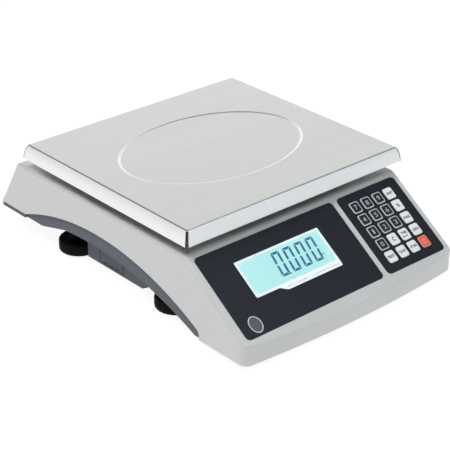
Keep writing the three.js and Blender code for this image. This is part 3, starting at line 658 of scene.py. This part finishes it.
def make_platter():
    """Folded sheet: flat top with a shallow oval, four flared skirts and a slit at each corner."""
    angles = sorted([math.tau * i / 160 for i in range(160)] + [
        math.atan2(sy * TOP_HALF_Y / OVAL_Y, sx * TOP_HALF_X / OVAL_X) % math.tau
        for sx in (-1, 1) for sy in (-1, 1)])
    rings = []
    rim = []
    for angle in angles:
        x, y = OVAL_X * math.cos(angle), OVAL_Y * math.sin(angle)
        grow = min(TOP_HALF_X / max(abs(x), 1e-9), TOP_HALF_Y / max(abs(y), 1e-9))
        rim.append((x * grow, PLATTER_Y + y * grow, TOP))
    rings.append(rim)
    steps = 7
    for k in range(steps + 1):
        part = k / steps
        grow = OVAL_SLOPE * (0.5 - part)
        z = TOP - RECESS * part * part * (3 - 2 * part)
        rings.append([((OVAL_X + grow) * math.cos(a), PLATTER_Y + (OVAL_Y + grow) * math.sin(a), z)
                      for a in angles])
    points, faces = lofted(rings, cap_first=False)
    count = len(angles)
    # the oval's slope takes material 4, the lighter steel of painted highlight
    materials = [4 if count <= i < count * (steps + 1) else 0 for i in range(len(faces))]
    for side in range(4):
        turn = Matrix.Rotation(side * math.pi / 2, 2)
        half, reach = (TOP_HALF_X, TOP_HALF_Y) if side % 2 == 0 else (TOP_HALF_Y, TOP_HALF_X)
        columns = [-1, -0.994, -0.99] + [i / 6 for i in range(-5, 6)] + [0.99, 0.994, 1]
        start = len(points)
        for out, down in SKIRT:
            slit = 0.0 if down < 1.2 else 0.9 + 0.9 * down / SKIRT[-1][1]
            length = half + out - slit
            for column in columns:
                spot = turn @ Vector((column * length, -(reach + out)))
                points.append((spot.x, PLATTER_Y + spot.y, TOP - down))
        count = len(columns)
        for row in range(len(SKIRT) - 1):
            for k in range(count - 1):
                a = start + row * count + k
                faces.append((a, a + count, a + count + 1, a + 1))
                # the faces beside each corner slit take material 5, the dark grey of painted shade
                painted_slit_shade = row >= BEND_ROWS and k in (0, count - 2)
                # material 1 on the fold rows is the darker steel of painted shade
                materials.append(1 if row < BEND_ROWS else 5 if painted_slit_shade else 2 + side % 2)
    mesh = mesh_of("platter_sheet", points, faces)
    # materials 2 and 3, the skirts, are the white steel of painted reflection
    looks = ["stainless_top", "stainless_bend_painted_shade", "stainless_edge_painted_reflection", "stainless_side_painted_reflection", "stainless_press_painted_highlight",
             "slit"]
    piece = new_object("platter_sheet", mesh, "platter", looks)
    for face, index in zip(mesh.polygons, materials):
        face.material_index = index
    welded = bmesh.new()
    welded.from_mesh(mesh)
    bmesh.ops.remove_doubles(welded, verts=welded.verts, dist=0.02 * MM)
    welded.to_mesh(mesh)
    welded.free()
    sheet = piece.modifiers.new("sheet", "SOLIDIFY")
    sheet.thickness = SHEET * MM
    sheet.offset = -1
    sheet.use_even_offset = True
    apply_modifiers(piece)
    finish_surface(piece, sharp=38)
    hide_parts("platter")


# ------------------------------------------------------------------ printed shapes on the panel
def glyphs(text, height, width=None, bold=0.0):
    """The outline of some text as flat points and faces, centred, in millimetres."""
    curve = bpy.data.curves.new("letters", "FONT")
    curve.body = text
    curve.resolution_u = 3
    curve.offset = bold
    holder = bpy.data.objects.new("letters", curve)
    bpy.context.scene.collection.objects.link(holder)
    bpy.context.view_layer.update()
    graph = bpy.context.evaluated_depsgraph_get()
    mesh = bpy.data.meshes.new_from_object(holder.evaluated_get(graph))
    spots = [v.co.copy() for v in mesh.vertices]
    faces = [tuple(p.vertices) for p in mesh.polygons]
    bpy.data.objects.remove(holder)
    bpy.data.curves.remove(curve)
    bpy.data.meshes.remove(mesh)
    low = [min(p[i] for p in spots) for i in (0, 1)]
    high = [max(p[i] for p in spots) for i in (0, 1)]
    scale_y = height / (high[1] - low[1])
    scale_x = width / (high[0] - low[0]) if width else scale_y
    return [((p.x - (low[0] + high[0]) / 2) * scale_x, (p.y - (low[1] + high[1]) / 2) * scale_y)
            for p in spots], faces


def printed(shape, x, v, n):
    """A flat shape placed on the panel."""
    points, faces = shape
    return [on_panel(x + px, v + pv, n) for px, pv in points], faces


def polygon(points):
    """One flat face that looks out of the panel."""
    area = sum(a[0] * b[1] - b[0] * a[1] for a, b in zip(points, points[1:] + points[:1]))
    order = range(len(points)) if area > 0 else reversed(range(len(points)))
    return list(points), [tuple(order)]


def ring_shape(radius, width, steps):
    """A flat ring as points and faces."""
    outer, inner = [], []
    for i in range(steps + 1):
        a = math.tau * i / steps
        outer.append((radius * math.cos(a), radius * math.sin(a)))
        inner.append(((radius - width) * math.cos(a), (radius - width) * math.sin(a)))
    points = outer + inner
    count = steps + 1
    return points, [(k, k + 1, count + k + 1, count + k) for k in range(steps)]


def shifted(shape, dx, dy):
    points, faces = shape
    return [(x + dx, y + dy) for x, y in points], faces


# ------------------------------------------------------------------ the keys
KEY_WIDTH, KEY_HEIGHT, KEY_CORNER = 12.4, 13.4, 2.0
KEY_TOP, KEY_THICK = 0.35, 1.55
LEGENDS = {
    "key_unit": ["UNIT"], "key_percent": ["%"], "key_function": ["FUNC"], "key_zero": ["ZERO"],
    "key_clear": ["C"], "key_tare": ["TARE"], "key_print": ["PRINT"], "key_count": ["COUNT"],
    "key_store": ["STORE"], "key_power": ["ON", "OFF"],
}


def key_legend(name):
    """The legend's outline, flat and centred on the key."""
    if name[-1].isdigit():
        return glyphs(name[-1], 5.4, 2.0 if name[-1] == "1" else 3.6)
    if name == "key_percent":
        return glyphs("%", 4.4, 4.6, 0.02)
    if name == "key_clear":
        return glyphs("C", 4.6, 3.8, 0.02)
    if name == "key_power":
        return merge_parts([shifted(glyphs("ON", 2.4, 4.2), 0, 1.9),
                            shifted(glyphs("OFF", 2.4, 5.6), 0, -1.9)])
    if name == "key_tare":
        arrow = merge_parts([polygon([(-3.2, -2.9), (2.4, -2.9), (2.4, -2.2), (-3.2, -2.2)]),
                             polygon([(1.7, -2.2), (2.4, -2.2), (2.4, -0.6), (1.7, -0.6)]),
                             polygon([(-3.2, -1.3), (-4.6, -2.55), (-3.2, -3.8)])])
        return merge_parts([shifted(glyphs("TARE", 2.9, 8.4, 0.035), 0, 1.9), arrow])
    return glyphs(LEGENDS[name][0], 3.1, 9.2, 0.035)


def make_key(name):
    """A thin cap with a rounded edge and its legend, in the key's own place."""
    low, high = box_mm(name)
    x, v = panel_place((low + high) / 2)
    outline = rectangle(x - KEY_WIDTH / 2, x + KEY_WIDTH / 2, v - KEY_HEIGHT / 2, v + KEY_HEIGHT / 2,
                        KEY_CORNER, 5)
    profile = [(0, KEY_TOP - KEY_THICK), (0, KEY_TOP - 0.4), (0.12, KEY_TOP - 0.16),
               (0.4, KEY_TOP - 0.02), (1.15, KEY_TOP), (1.2, KEY_TOP), (3.5, KEY_TOP + 0.03)]
    rings = []
    for inset, n in profile:
        grow_x = (KEY_WIDTH / 2 - inset) / (KEY_WIDTH / 2)
        grow_v = (KEY_HEIGHT / 2 - inset) / (KEY_HEIGHT / 2)
        rings.append([on_panel(x + (px - x) * grow_x, v + (pv - v) * grow_v, n) for px, pv in outline])
    cap, cap_faces = lofted(rings)
    legend, legend_faces = printed(key_legend(name), x, v, KEY_TOP + 0.06)
    points, faces = merge_parts([(cap, cap_faces), (legend, legend_faces)])
    mesh = mesh_of(name + "_cap", points, faces)
    if name[-1].isdigit():
        slot, looks = "key_black", ["key_black", "key_rim", "print_light"]
    elif name == "key_power":
        slot, looks = "key_red", ["key_red", "key_red_rim", "print_white"]
    else:
        slot, looks = "key_white", ["key_white", "key_white", "print_dark"]
    piece = new_object(name + "_cap", mesh, name, looks)
    per_ring = len(outline)
    for face in mesh.polygons:
        if face.index >= len(cap_faces):
            face.material_index = 2
        elif face.index < 4 * per_ring:
            face.material_index = 1
    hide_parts(name)


# ------------------------------------------------------------------ the display
LCD_FRONT = -1.3
BEZEL_TOP = -0.78
DIGIT = {"left": -60.2, "pitch": 15.5, "top": -25.2, "width": 10.7, "height": 27.6, "stroke": 2.8,
         "gap": 0.38, "slant": 2.85}


def digit_zero(left):
    """The six lit segments of a slanted seven-segment 0."""
    w, h, t, g = DIGIT["width"], DIGIT["height"], DIGIT["stroke"], DIGIT["gap"]
    middle = h / 2
    upper = [
        [(g, 0), (w - g, 0), (w - t - g, t), (t + g, t)],
        [(0, g), (t, t + g), (t, middle - t * 0.75), (t * 0.5, middle - g), (0, middle - t * 0.4)],
    ]
    upper.append([(w - a, b) for a, b in upper[1]])
    parts = []
    for shape in upper:
        for flipped in (False, True):
            spots = [(a, h - b if flipped else b) for a, b in shape]
            parts.append(polygon([(left + a + DIGIT["slant"] * (1 - b / h), DIGIT["top"] - b)
                                  for a, b in spots]))
    return merge_parts(parts)


def window_outline(inset):
    """The window's outline: a rectangle with its lower left part stepped up."""
    left, right, top, bottom, shelf = -101.8, 11.6, -19.5, -66.7, -61.6
    step_x, step_run = -72.0 + inset * 0.4, 8.5
    return [(left + inset, shelf + inset), (step_x, shelf + inset), (step_x + step_run, bottom + inset),
            (right - inset, bottom + inset), (right - inset, top - inset), (left + inset, top - inset)]


def make_display():
    """The white surround, four digits with a point and a unit, and blank dashes for small print."""
    points, faces = panel_plate(window_outline(0.35), -0.97, BEZEL_TOP)
    # the white surround's glow is painted light
    bezel = new_object("display_bezel", mesh_of("display_bezel", points, faces), "case", "bezel")
    hole = rectangle(WINDOW_LOW.x + 2.3, WINDOW_HIGH.x - 2.3, -59.3, -21.8, 0.5, 4)
    boolean(bezel, [panel_plate(hole, -3, 3)])
    parts = [digit_zero(DIGIT["left"] + DIGIT["pitch"] * i) for i in range(4)]
    dot = shifted(ring_shape(0.95, 0.94, 16), -49.4, -52.3)
    parts += [dot, shifted(glyphs("kg", 3.6, 3.8), -0.8, -47.2)]
    level = LCD_FRONT + 0.04
    mesh = mesh_of("display_digits", *merge_parts([printed(part, 0, 0, level) for part in parts]))
    new_object("display_digits", mesh, "case", "segment")
    marks = [polygon(rectangle(-50.6 + 1.4 * k, -49.6 + 1.4 * k, -58.9, -57.5)) for k in range(3)]
    marks += [polygon(rectangle(-38.8 + 2.6 * k, -37.0 + 2.6 * k, -59.0, -58.0)) for k in range(3)]
    mesh = mesh_of("display_signs", *merge_parts([printed(part, 0, 0, level) for part in marks]))
    new_object("display_signs", mesh, "case", "faint")
    rows = []
    spot = -62.5
    while spot < 7:
        length = random.uniform(0.9, 2.6)
        rows.append(polygon(rectangle(spot, spot + length, -64.0, -62.9)))
        spot += length + random.uniform(0.5, 1.0) + (7 if -38 < spot < -36 else 0)
    rows = [printed(part, 0, 0, BEZEL_TOP + 0.02) for part in rows]
    mesh = mesh_of("display_scale_marks", *merge_parts(rows))
    new_object("display_scale_marks", mesh, "case", "print_pink")


# ------------------------------------------------------------------ the spirit level
def make_level():
    """The ring round the spirit level's hole, the marks on its vial and the bubble."""
    x, v = LEVEL
    stretch = 1 / math.cos(SLOPE)
    profile = [(0.1, 0.02), (0.05, 0.2), (-0.15, 0.28), (-0.7, 0.28), (-0.95, 0.2), (-1.0, -0.5)]
    steps = 64
    rings = [[on_panel(x + (LEVEL_RADIUS + out) * math.cos(math.tau * k / steps),
                       v + (LEVEL_RADIUS * stretch + out) * math.sin(math.tau * k / steps), n)
              for k in range(steps)] for out, n in profile]
    points, faces = lofted(rings, False, False)
    new_object("level_ring", mesh_of("level_ring", points, faces), "case", "print_light", sharp=60)
    low, high = box_mm("level_vial")
    centre = (low + high) / 2
    parts = []
    for outer, width, z in ((4.4, 0.35, high.z + 0.05), (6.7, 0.7, high.z + 0.05)):
        shape, shape_faces = ring_shape(outer, width, 48)
        parts.append(([(centre.x + a, centre.y + b, z) for a, b in shape], shape_faces))
    new_object("level_marks", mesh_of("level_marks", *merge_parts(parts)), "case", "print_dark")
    bubble = []
    for a in (0, 0.4, 0.8, 1.2):
        circle = arc_points((centre.x, centre.y), 2.6 * math.cos(a), 0, math.tau, 24)[:-1]
        bubble.append([(px, py, high.z + 0.05 + 0.9 * math.sin(a)) for px, py in circle])
    points, faces = lofted(bubble)
    new_object("level_bubble", mesh_of("level_bubble", points, faces), "case", "bubble", sharp=80)


# ------------------------------------------------------------------ levelling feet
WHEEL_TOP, WHEEL_RIBS, STEPS_PER_RIB = 15.0, 28, 8
BORE, HUB, PAD_SEAT, PAD_SEAT_TOP = 4.4, 9.0, 17.3, 4.7


def make_wheel(name):
    """A ribbed wheel turned round its own axis, with a hub above and a seat for the pad below."""
    low, high = box_mm("foot_wheel_" + name)
    centre = (low + high) / 2
    count = WHEEL_RIBS * STEPS_PER_RIB
    top, bottom, rim = WHEEL_TOP, low.z, high.x - centre.x

    def ring(radius, z, depth):
        """A circle at height z, with the ribs' grooves cut to the given depth."""
        points = []
        for i in range(count):
            a = math.tau * i / count
            wave = 0.5 - 0.5 * math.cos(WHEEL_RIBS * a)
            r = radius - depth * (1 - (1 - wave) ** 2)
            points.append((centre.x + r * math.cos(a), centre.y + r * math.sin(a), z))
        return points

    profile = [
        (BORE, PAD_SEAT_TOP, 0), (PAD_SEAT, PAD_SEAT_TOP, 0), (PAD_SEAT, bottom, 0),
        (rim - 1.6, bottom, 0), (rim - 0.5, bottom + 0.5, 0.5), (rim, bottom + 1.2, 0.9),
        (rim, top - 1.2, 0.9), (rim - 0.4, top - 0.5, 0.6), (rim - 1.4, top, 0.1),
        (rim - 3.2, top, 0), (rim - 3.8, top - 0.7, 0), (HUB + 1.6, top - 0.7, 0),
        (HUB + 0.6, top - 0.2, 0), (HUB, top + 0.8, 0), (HUB, high.z - 0.6, 0),
        (HUB - 0.6, high.z, 0), (BORE + 0.5, high.z, 0), (BORE, high.z - 0.5, 0),
    ]
    rings = [ring(*step) for step in profile]
    points, faces = lofted(rings, False, False)
    last = (len(rings) - 1) * count
    faces += [(last + k, last + (k + 1) % count, (k + 1) % count, k) for k in range(count)]
    body = "foot_wheel_" + name
    mesh = mesh_of("wheel", points, faces)
    piece = new_object("knurled_wheel_" + name, mesh, body, "black", sharp=40)
    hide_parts(body)


# ------------------------------------------------------------------ seams and small trim
def make_door_seam():
    """The dark gap round the battery door, and the three latch slots in it."""
    low, high = box_mm("battery_door")
    x = low.x - 0.06
    y_low, y_high, z_low = 15.0, 54.2, 8.5
    strips = [((y_low - 0.4, y_low + 0.6), (z_low, 27.6)), ((y_high - 0.6, y_high + 0.4), (z_low, 27.6)),
              ((y_low, y_high), (z_low - 0.3, z_low + 0.6))]
    parts = []
    for (y0, y1), (z0, z1) in strips:
        rings = [[(spot, y0, z0), (spot, y1, z0), (spot, y1, z1), (spot, y0, z1)]
                 for spot in (x, x + 0.4)]
        parts.append(lofted([list(reversed(ring)) for ring in rings]))
    new_object("battery_door_seam", mesh_of("battery_door_seam", *merge_parts(parts)), "case", "seam")
    parts = []
    for k in (-1, 0, 1):
        y = (y_low + y_high) / 2 + 10 * k
        outline = rectangle(y - 3.5, y + 3.5, z_low + 1.5, z_low + 2.7, 0.5, 4)
        rings = [[(spot, a, b) for a, b in reversed(outline)] for spot in (low.x + 0.25, low.x + 0.9)]
        parts.append(lofted(rings))
    mesh = mesh_of("battery_door_latches", *merge_parts(parts))
    new_object("battery_door_latches", mesh, "battery_door", "seam")


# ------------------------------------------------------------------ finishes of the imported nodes
NODE_LOOKS = {
    "base_shell": "base", "battery_door": "base", "battery_pack": "battery", "dc_jack": "black",
    "chassis_plate": "zinc", "cell_base_block": "aluminium", "load_cell": "aluminium",
    "cell_top_block": "aluminium", "platter_carrier": "aluminium", "platter_pad": "rubber",
    "main_board": "board", "display_label": "label", "display_window": "clear", "lcd_module": "lcd",
    "display_board": "board", "level_window": "label_glass", "level_vial": "fluid",
    "keypad_label": "label", "keypad_board": "board", "foot_stud": "zinc", "foot_pad": "rubber",
    "case_screw": "zinc",
}


def finish_nodes():
    """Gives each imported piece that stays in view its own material."""
    for name, node in NODES.items():
        for prefix, look in NODE_LOOKS.items():
            if name.startswith(prefix):
                node.data.materials.clear()
                node.data.materials.append(LOOKS[look])
                node.data.shade_smooth()
                node.data.set_sharp_from_angle(angle=math.radians(30))


# ------------------------------------------------------------------ run
add_camera()
add_studio()
make_materials()
make_cover()
make_platter()
for key in NODES:
    if key.startswith("key_"):
        make_key(key)
make_display()
make_level()
for corner in ("front_left", "front_right", "rear_left", "rear_right"):
    make_wheel(corner)
make_door_seam()
finish_nodes()
